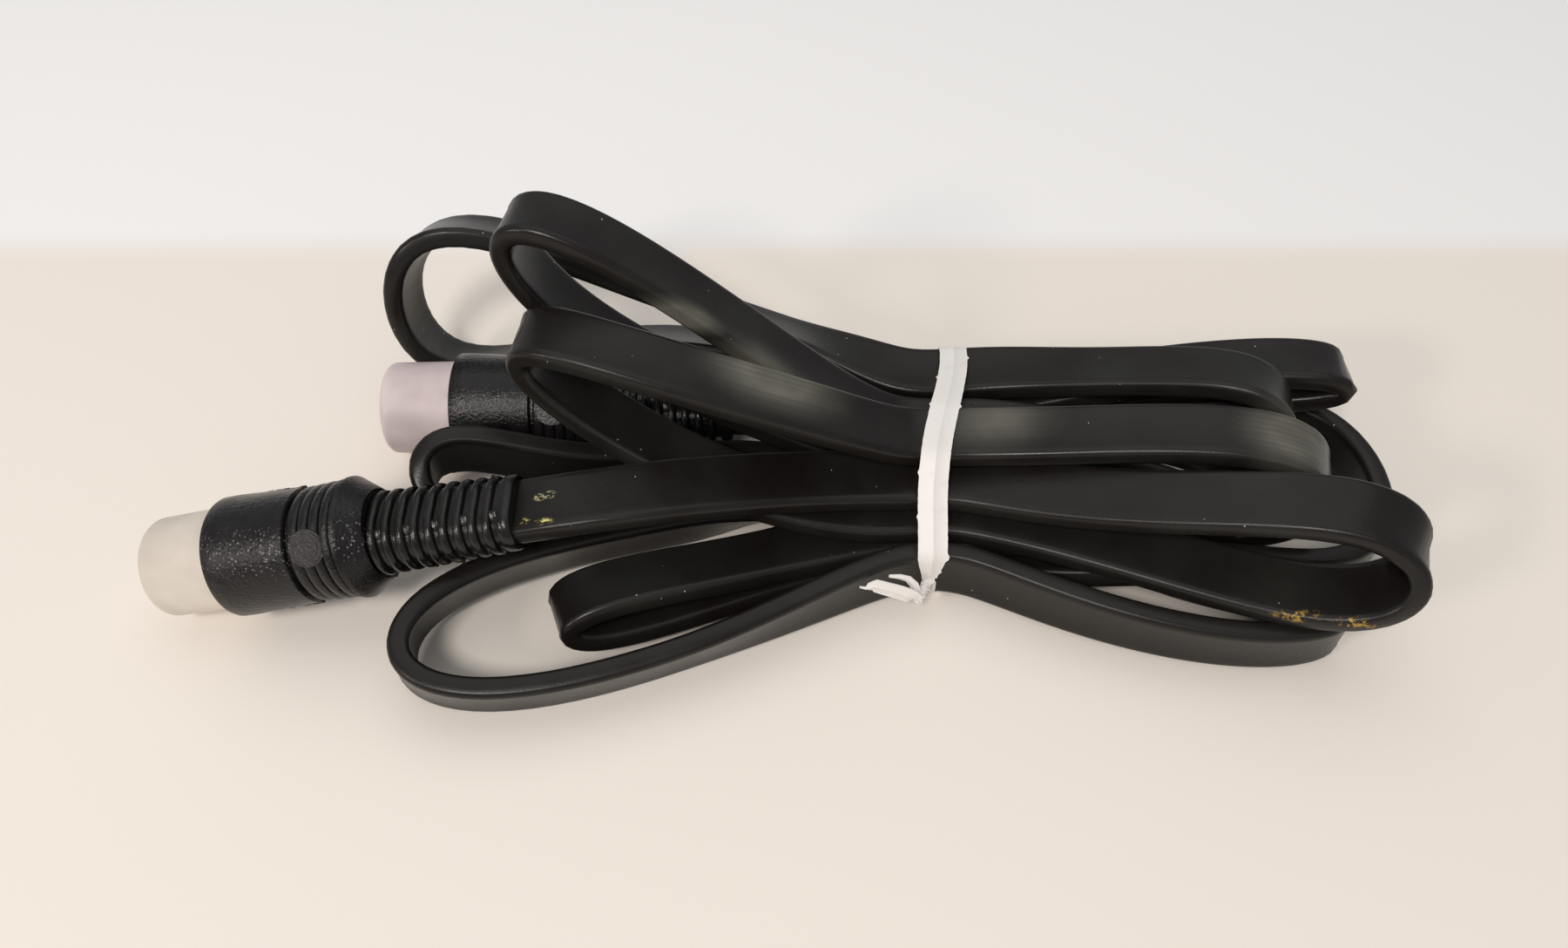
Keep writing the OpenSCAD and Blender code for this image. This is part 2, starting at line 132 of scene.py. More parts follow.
class Loft:
    """A tube through a row of rings, made by extruding the edges of each ring to the next."""

    def __init__(self, rings: Sequence[Sequence[Vector]]) -> None:
        """Builds the tube, with open ends.

        Args:
            rings: The rings' points in order, as many in each ring.
        """
        self.bm = bmesh.new()
        self.ring = [self.bm.verts.new(p) for p in rings[0]]
        self.edges = [self.bm.edges.new(pair) for pair in zip(self.ring, self.ring[1:] + self.ring[:1])]
        self.start_edges = list(self.edges)
        self.places = {v: (0, k) for k, v in enumerate(self.ring)}
        for row, ring in enumerate(rings[1:], 1):
            self.grow(ring, row)

    def grow(self, ring: Sequence[Vector], row: int) -> None:
        """Extrudes the last ring and moves the new one into place.

        Args:
            ring: The new ring's points.
            row: The new ring's number.
        """
        grown = bmesh.ops.extrude_edge_only(self.bm, edges=self.edges)["geom"]
        new = {v for v in grown if isinstance(v, bmesh.types.BMVert)}
        fresh = []
        for k, vert in enumerate(self.ring):
            partner = next(e.other_vert(vert) for e in vert.link_edges if e.other_vert(vert) in new)
            partner.co = ring[k]
            self.places[partner] = (row, k)
            fresh.append(partner)
        self.ring = fresh
        self.edges = [self.bm.edges.get(pair) for pair in zip(fresh, fresh[1:] + fresh[:1])]

    def closed(self) -> Mesh:
        """Fills the first and the last ring.

        Returns:
            The solid, with its normals outwards.
        """
        for edges in (self.start_edges, self.edges):
            bmesh.ops.edgeloop_fill(self.bm, edges=edges)
        bmesh.ops.recalc_face_normals(self.bm, faces=self.bm.faces)
        return self.bm

    def joined(self) -> Mesh:
        """Joins the last ring to the first, for a body with a hole through it.

        Returns:
            The solid, with its normals outwards.
        """
        bmesh.ops.bridge_loops(self.bm, edges=self.start_edges + self.edges)
        bmesh.ops.recalc_face_normals(self.bm, faces=self.bm.faces)
        return self.bm

    def lay_map(self, along: Sequence[float], around: Sequence[float], name: str) -> None:
        """Writes a map in metres: along the tube, and round its section.

        Args:
            along: Each ring's place along the tube, in millimetres.
            around: Each point's place round the section, and the whole way round at the end.
            name: The map's name.
        """
        layer = self.bm.loops.layers.uv.new(name)
        points = len(around) - 1
        for face in self.bm.faces:
            if len(face.loops) != 4:
                continue
            places = [self.places[corner.vert] for corner in face.loops]
            wraps = {0, points - 1} <= {k for _, k in places}
            for corner, (row, k) in zip(face.loops, places):
                k = points if wraps and k == 0 else k
                corner[layer].uv = (along[row] * MM, around[k] * MM)


def spun(profile: Outline) -> Mesh:
    """Spins a closed profile about the x axis into a solid.

    Args:
        profile: Radius and station of each corner, in order round the wall.

    Returns:
        The solid, with its normals outwards.
    """
    bm = bmesh.new()
    corners = [bm.verts.new((station, 0.0, max(radius, 0.0))) for radius, station in profile]
    for pair in zip(corners, corners[1:] + corners[:1]):
        bm.edges.new(pair)
    axis_edges = [e for e in bm.edges if all(v.co.z < 1e-6 for v in e.verts)]
    bmesh.ops.delete(bm, geom=axis_edges, context="EDGES")
    bmesh.ops.spin(
        bm, geom=bm.verts[:] + bm.edges[:], cent=(0, 0, 0), axis=(1, 0, 0), dvec=(0, 0, 0),
        angle=2 * math.pi, steps=ROUND_FACETS, use_merge=True,
    )
    bmesh.ops.remove_doubles(bm, verts=bm.verts, dist=1e-4)
    bmesh.ops.recalc_face_normals(bm, faces=bm.faces)
    return bm


def soft_block(bm: Mesh, size: Sequence[float], place: Matrix, corner: float, segments: int) -> None:
    """Adds a block with rounded edges.

    Args:
        bm: The mesh that takes the block.
        size: The block's three sizes.
        place: Where its middle goes, and how it is turned.
        corner: The radius of its edges.
        segments: Facets across each rounded edge.
    """
    made = bmesh.ops.create_cube(bm, size=1.0)["verts"]
    bmesh.ops.scale(bm, vec=size, verts=made)
    edges = list({e for v in made for e in v.link_edges})
    bevelled = bmesh.ops.bevel(
        bm, geom=edges, offset=corner, offset_type="OFFSET", segments=segments, profile=0.5,
        affect="EDGES", material=-1, clamp_overlap=True,
    )
    verts = {v for f in bevelled["faces"] for v in f.verts} | {v for v in made if v.is_valid}
    bmesh.ops.transform(bm, matrix=place, verts=list(verts))


def added(name: str, data: bpy.types.ID) -> Piece:
    """Makes an object and adds it to the scene.

    Args:
        name: The object's name.
        data: Its mesh, light or camera.

    Returns:
        The new object.
    """
    piece = bpy.data.objects.new(name, data)
    bpy.context.scene.collection.objects.link(piece)
    return piece


def finished(name: str, bm: Mesh, place: Matrix, finish: "Finish", crease: float) -> Piece:
    """Turns a bmesh in millimetres into a piece in metres, with its place in its mesh.

    Args:
        name: The piece's name.
        bm: Its mesh, which is freed.
        place: From the mesh's own millimetres to the model's.
        finish: Its finish.
        crease: Edges sharper than this many degrees stay crisp.

    Returns:
        The new object, at the origin.
    """
    bmesh.ops.transform(bm, matrix=Matrix.Scale(MM, 4) @ place, verts=bm.verts)
    for face in bm.faces:
        face.smooth = True
    for edge in bm.edges:
        edge.smooth = not edge.is_manifold or edge.calc_face_angle(0.0) < math.radians(crease)
    mesh = bpy.data.meshes.new(name)
    bm.to_mesh(mesh)
    bm.free()
    mesh.materials.append(finish.material())
    return added(name, mesh)


def settle(piece: Piece, body: str, slot: str, *nodes: str) -> Piece:
    """Puts a piece on its body, and hides the CAD nodes that it replaces.

    Args:
        piece: The finished piece.
        body: The body that it rides on.
        slot: The record's material slot; not used.
        *nodes: The CAD nodes that it replaces.

    Returns:
        The piece.
    """
    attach(piece, body)
    if nodes:
        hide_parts(*nodes)
    log.info("%s: %d faces, rides on %s", piece.name, len(piece.data.polygons), body)
    return piece


# ---------------------------------------------------------------- finishes


def add_node(tree: Tree, kind: str, settings: Optional[dict[str, Any]] = None,
             **inputs: Setting) -> bpy.types.Node:
    """Adds a node with its settings and links.

    Args:
        tree: The material's node tree.
        kind: The node's type without its first word, such as "TexNoise" for ShaderNodeTexNoise.
        settings: The node's own properties.
        **inputs: Values or sockets by input name, with _ for a space, or in_0 for the first input.

    Returns:
        The node.
    """
    node = tree.nodes.new("ShaderNode" + kind)
    for name, value in (settings or {}).items():
        setattr(node, name, value)
    for name, value in inputs.items():
        key = int(name[3:]) if name.startswith("in_") else name.replace("_", " ")
        socket = node.inputs[key]
        if isinstance(value, Socket):
            tree.links.new(value, socket)
        else:
            socket.default_value = value
    return node


class Surface:
    """A surface's nodes, and the patterns that the finishes share."""

    def __init__(self, tree: Tree) -> None:
        """Starts from the surface's place in the model, in metres.

        Args:
            tree: The material's node tree.
        """
        self.tree = tree
        self.place = add_node(tree, "TexCoord").outputs["Object"]

    def mottle(self, size: float, span: Pair = (0.0, 1.0), levels: Pair = (0.0, 1.0), detail: float = 2.0,
               rough: float = 0.5, place: Optional[Socket] = None) -> Socket:
        """Grain or soft patches: noise of a real size, spread between two levels.

        Args:
            size: About how far apart the grains or patches are, in millimetres.
            span: The noise below which the first level holds, and above which the second does.
            levels: The two levels.
            detail: How many finer noises are added.
            rough: How strong the finer ones are.
            place: Another place than the surface's own.

        Returns:
            The value.
        """
        noise = add_node(
            self.tree, "TexNoise", Vector=self.place if place is None else place, Scale=per_mm(size),
            Detail=detail, Roughness=rough,
        )
        return add_node(
            self.tree, "MapRange", in_0=noise.outputs["Fac"], in_1=span[0], in_2=span[1], in_3=levels[0],
            in_4=levels[1],
        ).outputs[0]

    def near_point(self, point: Sequence[float], reach: Sequence[float]) -> Socket:
        """A mask that is 1 at a point of the model and fades to 0 at its reach.

        Args:
            point: The mask's middle, in millimetres from the waist.
            reach: How far it goes along x, y and z, in millimetres.

        Returns:
            The mask.
        """
        middle, far = tuple((MIDDLE + Vector(point)) * MM), tuple(c * MM for c in reach)
        moved = add_node(self.tree, "VectorMath", {"operation": "SUBTRACT"}, in_0=self.place, in_1=middle)
        sized = add_node(self.tree, "VectorMath", {"operation": "DIVIDE"}, in_0=moved.outputs[0], in_1=far)
        away = add_node(self.tree, "VectorMath", {"operation": "LENGTH"}, in_0=sized.outputs[0])
        return add_node(
            self.tree, "MapRange", in_0=away.outputs["Value"], in_1=0.35, in_2=1.0, in_3=1.0, in_4=0.0
        ).outputs[0]

    def dust(self, cell: float, fleck: float, share: float) -> Socket:
        """A mask of scattered dust flecks.

        Args:
            cell: Size of the cells that may each hold one fleck, in millimetres.
            fleck: A fleck's radius, in millimetres.
            share: The share of the cells that hold one.

        Returns:
            The mask.
        """
        cells = add_node(
            self.tree, "TexVoronoi", {"feature": "F1"}, Vector=self.place, Scale=per_mm(cell)
        )
        away, rim = cells.outputs["Distance"], fleck / cell
        spot = add_node(self.tree, "MapRange", in_0=away, in_1=rim * 0.5, in_2=rim, in_3=1.0, in_4=0.0)
        luck = add_node(self.tree, "SeparateColor", Color=cells.outputs["Color"])
        held = add_node(self.tree, "Math", {"operation": "LESS_THAN"}, in_0=luck.outputs[0], in_1=share)
        return add_node(
            self.tree, "Math", {"operation": "MULTIPLY"}, in_0=spot.outputs[0], in_1=held.outputs[0]
        ).outputs[0]


@dataclass
class Look:
    """What a surface shows beyond one plain colour.

    A layer is a colour and the masks that are multiplied to say where it covers what is under it. The
    relief is pressed into the surface, depth millimetres deep.
    """

    layers: list[tuple[str, list[Setting]]]
    gloss: Socket
    relief: Socket
    depth: float
    strength: float = 0.4


@dataclass(frozen=True)
class Finish:
    """What a surface is made of. Each finish of the cable adds its own look to this."""

    title: str
    colour: str
    roughness: float
    ior: float = 1.5
    metallic: float = 0.0
    specular: float = 0.5
    sheer: float = 0.0

    def look(self, surface: Surface) -> Look:
        """What the eye sees beyond one plain colour."""
        raise NotImplementedError

    def around(self, less: float, more: float) -> Pair:
        """The roughness at the glossiest and at the dullest places."""
        return self.roughness - less, self.roughness + more

    def material(self) -> bpy.types.Material:
        """Builds the material.

        Returns:
            The new material.
        """
        made = bpy.data.materials.new(self.title)
        made.use_nodes = True
        tree = made.node_tree
        tree.nodes.clear()
        look = self.look(Surface(tree))
        base = linear(self.colour)
        # Light goes in about a millimetre where the finish is sheer, and red light farthest
        shader = add_node(
            tree, "BsdfPrincipled", Base_Color=base, Roughness=self.roughness, IOR=self.ior,
            Metallic=self.metallic, Specular_IOR_Level=self.specular, Subsurface_Weight=self.sheer,
            Subsurface_Radius=(1.0, 0.8, 0.6), Subsurface_Scale=1.2 * MM,
        )
        for colour, (share, *masks) in look.layers:
            for mask in masks:
                both = add_node(tree, "Math", {"operation": "MULTIPLY"}, in_0=share, in_1=mask)
                share = both.outputs[0]
            layer = add_node(tree, "Mix", {"data_type": "RGBA"}, in_0=share, in_6=base, in_7=linear(colour))
            base = layer.outputs[2]
        bump = add_node(tree, "Bump", Height=look.relief, Distance=look.depth * MM, Strength=look.strength)
        tree.links.new(base, shader.inputs["Base Color"])
        tree.links.new(look.gloss, shader.inputs["Roughness"])
        tree.links.new(bump.outputs[0], shader.inputs["Normal"])
        add_node(tree, "OutputMaterial", Surface=shader.outputs["BSDF"])
        return made


@dataclass(frozen=True)
class ExtrudedVinyl(Finish):
    """Plasticised PVC, extruded as a flat jacket: satin black, with fine draw lines along it, patches of
    olive sheen painted into its colour as a highlight, and dust that clings to it."""

    # Colour of the painted olive sheen highlight
    painted_sheen_colour: str = "#77766a"
    dust_colour: str = "#c9c5b8"
    cloud: float = 14.0

    def look(self, surface: Surface) -> Look:
        """Lays draw lines, painted olive sheen highlights, dust and glue on the jacket.

        Args:
            surface: The jacket's surface.

        Returns:
            The look.
        """
        route = add_node(surface.tree, "UVMap", {"uv_map": ROUTE_MAP}).outputs[0]
        # Draw lines run along the cable: 0.5 mm apart across it and 40 mm long
        drawn = add_node(surface.tree, "Mapping", Vector=route, Scale=(0.0125, 1.0, 1.0)).outputs[0]
        lines = surface.mottle(0.5, levels=(0.0, 0.5), place=drawn)
        grain = surface.mottle(0.35, levels=(0.0, 0.6), rough=0.6)
        layers = [("#232320", [surface.mottle(self.cloud, (0.35, 0.7), detail=3.0)])]
        # Painted highlight: an olive sheen painted into the colour where the lamp's reflection lies
        painted_sheen, *others = [surface.near_point(point, reach) for point, reach in PAINTED_SHEEN_PLACES]
        for spot in others:
            both = add_node(surface.tree, "Math", {"operation": "MAXIMUM"}, in_0=painted_sheen, in_1=spot)
            painted_sheen = both.outputs[0]
        uneven = surface.mottle(self.cloud, (0.3, 0.6), (0.5, 1.0), 3.0)
        streak = surface.mottle(0.5, (0.3, 0.7), (0.7, 1.0), place=drawn)
        layers.append((self.painted_sheen_colour, [painted_sheen, painted_sheen, uneven, streak]))
        for point, reach, colour, grit in STAIN_PLACES:
            flakes = surface.mottle(grit, (0.5, 0.62), detail=3.0, rough=0.7)
            layers.append((colour, [surface.near_point(point, reach), flakes]))
        settled = surface.mottle(self.cloud, (0.48, 0.54), detail=3.0)
        layers.append((self.dust_colour, [surface.dust(1.6, 0.13, 0.2), settled]))
        gloss = surface.mottle(self.cloud, (0.3, 0.75), self.around(0.05, 0.1), 3.0)
        relief = add_node(surface.tree, "Math", {"operation": "ADD"}, in_0=lines, in_1=grain)
        return Look(layers, gloss, relief.outputs[0], 0.04, 0.6)


@dataclass(frozen=True)
class MouldedVinyl(Finish):
    """Black PVC moulded over the plug: glossier than the jacket, with the mould's spark-eroded grain, and
    pale specks painted on its grain as highlight sparkle along the hood's lit band."""

    # Colour of the pale specks painted as highlight sparkle
    painted_sparkle_colour: str = "#8c8284"
    grain: float = 0.45
    depth: float = 0.05

    def look(self, surface: Surface) -> Look:
        """Lays the mould's grain, pale specks painted as highlight sparkle, dull patches and a little dust.

        Args:
            surface: The moulding's surface.

        Returns:
            The look.
        """
        grain = surface.mottle(self.grain, detail=3.0, rough=0.65)
        sparkle_specks = surface.dust(0.45, 0.17, 0.55)
        layers = [("#1a1818", [surface.mottle(5.0, (0.4, 0.7))])]
        # Pale specks painted as highlight sparkle, along the band of the hood where the lamp's reflection
        # lies
        for point, reach in PAINTED_SPARKLE_PLACES:
            layers.append((self.painted_sparkle_colour, [surface.near_point(point, reach), sparkle_specks, 0.9]))
        layers.append(("#a5a196", [surface.dust(2.6, 0.12, 0.15)]))
        gloss = surface.mottle(5.0, (0.35, 0.65), self.around(0.04, 0.12))
        return Look(layers, gloss, grain, self.depth, 1.0)


@dataclass(frozen=True)
class SoftPolythene(Finish):
    """Low-density polythene, injection moulded: waxy, a little translucent, with faint flow marks."""

    sheer: float = 0.25
    shade: str = "#bdb7ae"

    def look(self, surface: Surface) -> Look:
        """Lays flow marks, scuffs and specks on the polythene.

        Args:
            surface: The polythene's surface.

        Returns:
            The look.
        """
        flow = surface.mottle(6.0, (0.35, 0.7))
        scuff = surface.mottle(0.8, detail=3.0, rough=0.6)
        layers = [(self.shade, [flow]), ("#7d776c", [surface.dust(6.0, 0.11, 0.4)])]
        gloss = surface.mottle(0.8, (0.3, 0.7), self.around(0.06, 0.1), 3.0, 0.6)
        return Look(layers, gloss, scuff, 0.015)


@dataclass(frozen=True)
class TieFilm(Finish):
    """White PVC film laid over a wire: matt, with fine creases and cut edges that have picked up grime."""

    def look(self, surface: Surface) -> Look:
        """Lays creases along the film, and grime.

        Args:
            surface: The film's surface.

        Returns:
            The look.
        """
        along = add_node(surface.tree, "Mapping", Vector=surface.place, Scale=(1.0, 0.25, 0.25)).outputs[0]
        creases = surface.mottle(0.5, detail=3.0, rough=0.6, place=along)
        grime = surface.mottle(2.5, (0.58, 0.9), detail=4.0, rough=0.6)
        gloss = surface.mottle(2.5, (0.3, 0.7), self.around(0.05, 0.1), 4.0, 0.6)
        return Look([("#dcd8ce", [grime])], gloss, creases, 0.08, 0.5)


@dataclass(frozen=True)
class WorkedMetal(Finish):
    """A plated or formed metal: fine marks from the tool, and a soft dullness where it was handled."""

    grain: float = 0.25
    dull: str = "#a29d94"

    def look(self, surface: Surface) -> Look:
        """Lays tool marks and handling marks on the metal.

        Args:
            surface: The metal's surface.

        Returns:
            The look.
        """
        grain = surface.mottle(self.grain)
        handled = surface.mottle(3.0, (0.45, 0.75), detail=3.0)
        gloss = surface.mottle(3.0, (0.3, 0.75), self.around(0.05, 0.12), 3.0)
        return Look([(self.dull, [handled])], gloss, grain, 0.01)


@dataclass(frozen=True)
class MouldedPolymer(Finish):
    """A stiff thermoplastic moulding: even, semi-matt, with the faint grain of a polished mould."""

    second: str = "#3a3936"
    grain: float = 0.3

    def look(self, surface: Surface) -> Look:
        """Lays faint flow marks and grain on the moulding.

        Args:
            surface: The moulding's surface.

        Returns:
            The look.
        """
        grain = surface.mottle(self.grain)
        flow = surface.mottle(2.5, (0.4, 0.7))
        gloss = surface.mottle(self.grain, (0.3, 0.7), self.around(0.05, 0.08))
        return Look([(self.second, [flow])], gloss, grain, 0.01)


ROUTE_MAP = "Route"
# Painted highlight, an olive sheen: middle and reach of each patch, in millimetres from the waist
PAINTED_SHEEN_PLACES = [
    ((-25.0, 0.5, 28.0), (21.0, 8.0, 8.0)),
    ((-36.0, 5.0, 36.0), (16.0, 3.4, 4.5)),
    ((8.2, 0.5, 22.0), (12.0, 8.5, 7.5)),
    ((49.2, -6.3, 23.5), (10.0, 9.0, 9.0)),
]
# Painted highlight sparkle on the hood's grain: middle and reach of each patch, in millimetres from the
# waist
PAINTED_SPARKLE_PLACES = [
    ((-94.1, -21.9, 18.0), (11.0, 4.0, 4.6)),
    ((-80.0, -21.6, 21.6), (3.2, 4.0, 4.6)),
]
# Flakes of yellowed glue behind the boot, then the front lip of a loop that is worn to yellow: middle and
# reach in millimetres from the waist, colour, and the size of the flakes
STAIN_PLACES = [
    ((-55.3, -15.6, 22.7), (1.1, 0.8, 1.5), "#e3dfa2", 0.5),
    ((-54.0, -15.3, 22.9), (1.3, 0.8, 1.5), "#ece7b4", 0.6),
    ((-56.9, -19.4, 22.2), (1.0, 0.7, 1.5), "#cfc766", 0.5),
    ((-54.2, -19.8, 22.7), (1.5, 0.8, 1.5), "#dcd68a", 0.6),
    ((54.3, -30.6, 14.2), (6.0, 1.2, 1.3), "#b08c3c", 0.9),
    ((46.5, -28.8, 12.9), (7.0, 1.2, 1.2), "#b08c3c", 0.9),
    ((61.4, -29.5, 14.5), (2.0, 2.0, 3.0), "#a89a5a", 0.6),
]

JACKET = ExtrudedVinyl("Extruded_black_PVC", "#1a1615", 0.3, 1.5, specular=0.27)
HOOD_VINYL = MouldedVinyl("Moulded_black_PVC", "#110f10", 0.19, 1.52, specular=0.34, grain=0.5, depth=0.13)
BOOT_VINYL = MouldedVinyl(
    "Moulded_black_PVC_boot", "#121110", 0.2, 1.52, specular=0.36, grain=0.8, depth=0.07
)
CAP_A = SoftPolythene("Moulded_grey_LDPE", "#dad1c6", 0.42, 1.51, shade="#ccc3b7")
CAP_B = SoftPolythene("Moulded_pinkish_grey_LDPE", "#d8caca", 0.42, 1.51, shade="#c8baba")
TIE_FILM = TieFilm("White_PVC_film", "#efece8", 0.55, 1.53)
SKIRT_METAL = WorkedMetal("Drawn_nickel_plated_steel", "#c8c4bb", 0.24, metallic=1.0)
SHELL_METAL = WorkedMetal("Pressed_tin_plate", "#bfbdb8", 0.34, metallic=1.0)
PIN_METAL = WorkedMetal("Turned_nickel_plated_brass", "#cfcabd", 0.2, metallic=1.0, grain=0.12)
CRIMP_METAL = WorkedMetal("Formed_steel_strip", "#a9a7a2", 0.38, metallic=1.0, grain=0.2)
INSULATOR_BODY = MouldedPolymer("Moulded_black_PBT", "#242322", 0.45, 1.57)
CORE_COVER = MouldedPolymer("Extruded_red_core_PVC", "#9c3527", 0.4, 1.53, second="#8a2b20")


# ---------------------------------------------------------------- the route of the cable


class Side(Enum):
    """The side of the waist that a loop lies on."""

    RIGHT = 1
    LEFT = -1


class Column(Enum):
    """A column of runs under the tie, from the front to the back."""

    EDGE = -2
    NEAR = -1
    MID = 0
    FAR = 1


@dataclass(frozen=True)
class Slot:
    """The place of one run under the tie: its column, and its row from the floor."""

    column: Column
    row: int


@dataclass(frozen=True)
class Loop:
    """One loop of the hank.

    It leaves one slot and comes back to another. Its far end is at the reach from the waist, and at the
    bight in y and z. The girth is how wide it opens, the tilt how far that width leans from level, and
    the belly the share of the reach at which it is widest. The ease says how slowly its middle line
    leaves the tie, and the swing how far that line bows to the back. Over the twist, a share of the
    reach, the cable turns from lying flat to standing on edge, and the spin turns it on from there.
    Lengths are in millimetres, and angles in degrees.
    """

    side: Side
    leaves: Slot
    joins: Slot
    reach: float
    girth: float
    tilt: float
    bight: Pair
    belly: float
    ease: float
    spin: float
    swing: float
    twist: float


@dataclass(frozen=True)
class PlugPose:
    """Where a plug lies: the boot's cable end from the waist, how far its nose is down, and its turn."""

    key: str
    exit: Triple
    nose_down: float
    turn: float

    def nose(self) -> Vector:
        """The way that the nose points."""
        down, turn = math.radians(self.nose_down), math.radians(self.turn)
        return Vector(
            (-math.cos(down) * math.cos(turn), -math.cos(down) * math.sin(turn), -math.sin(down))
        )

    def matrix(self) -> Matrix:
        """From the plug's own millimetres, with x from the cable to the nose, to the model's."""
        return (
            Matrix.Translation(MIDDLE + Vector(self.exit))
            @ Matrix.Rotation(math.radians(180 + self.turn), 4, "Z")
            @ Matrix.Rotation(math.radians(self.nose_down), 4, "Y")
        )


EDGE_RUN = Slot(Column.EDGE, 1)
CROWN_RUN = Slot(Column.MID, 5)


def near(row: int) -> Slot:
    """A run in the near column."""
    return Slot(Column.NEAR, row)


def mid(row: int) -> Slot:
    """A run in the middle column."""
    return Slot(Column.MID, row)


def far(row: int) -> Slot:
    """A run in the far column."""
    return Slot(Column.FAR, row)


LOOPS = [
    Loop(Side.RIGHT, near(4), near(3), 62, 13, 64, (-25, 20), 0.82, 0.05, 30, -1, 0.5),
    Loop(Side.LEFT, near(3), CROWN_RUN, 58, 14, 92, (3, 32.5), 0.7, 0.05, 2, -3.5, 0.5),
    Loop(Side.RIGHT, CROWN_RUN, mid(1), 55, 18, 91, (-8.5, 15), 0.79, 0.1, -1, 0.5, 0.5),
    Loop(Side.LEFT, mid(1), EDGE_RUN, 75, 18.5, 9, (-29.5, 6.5), 0.76, 0.1, -7, -2.5, 0.5),
    Loop(Side.RIGHT, EDGE_RUN, near(1), 56, 8, 3, (-25.5, 5.5), 0.72, 0.15, 2, -3, 0.9),
    Loop(Side.LEFT, near(1), near(2), 53, 6, 76, (-25, 7), 0.84, 0.1, 0, -0.5, 0.5),
    Loop(Side.RIGHT, near(2), far(1), 67.5, 28.5, 1, (-2.5, 6), 0.81, 0.05, 4, 0.5, 0.8),
    Loop(Side.LEFT, far(1), mid(2), 75.5, 10, 33, (-4.5, 11.5), 0.92, 0.35, 25, -2.5, 0.5),
    Loop(Side.RIGHT, mid(2), mid(4), 44.5, 8, 69, (-9, 12), 0.81, 0.05, 7, 2.5, 0.6),
    Loop(Side.LEFT, mid(4), mid(3), 60, 17.5, 88, (14.5, 42), 0.76, 0.15, 4, 0, 0.5),
    Loop(Side.RIGHT, mid(3), far(4), 52, 15, 79, (1.5, 16.5), 0.84, 0.1, 1, 2.5, 0.55),
    Loop(Side.LEFT, far(4), far(3), 83, 24, 76, (27.5, 17.5), 0.87, 0.05, 12, 7.5, 0.25),
    Loop(Side.RIGHT, far(3), far(2), 62.5, 5, 86, (11, 18), 0.82, 0.15, -3, 2.5, 0.5),
]


Rings = list[tuple[Vector, Vector, Optional[Vector]]]


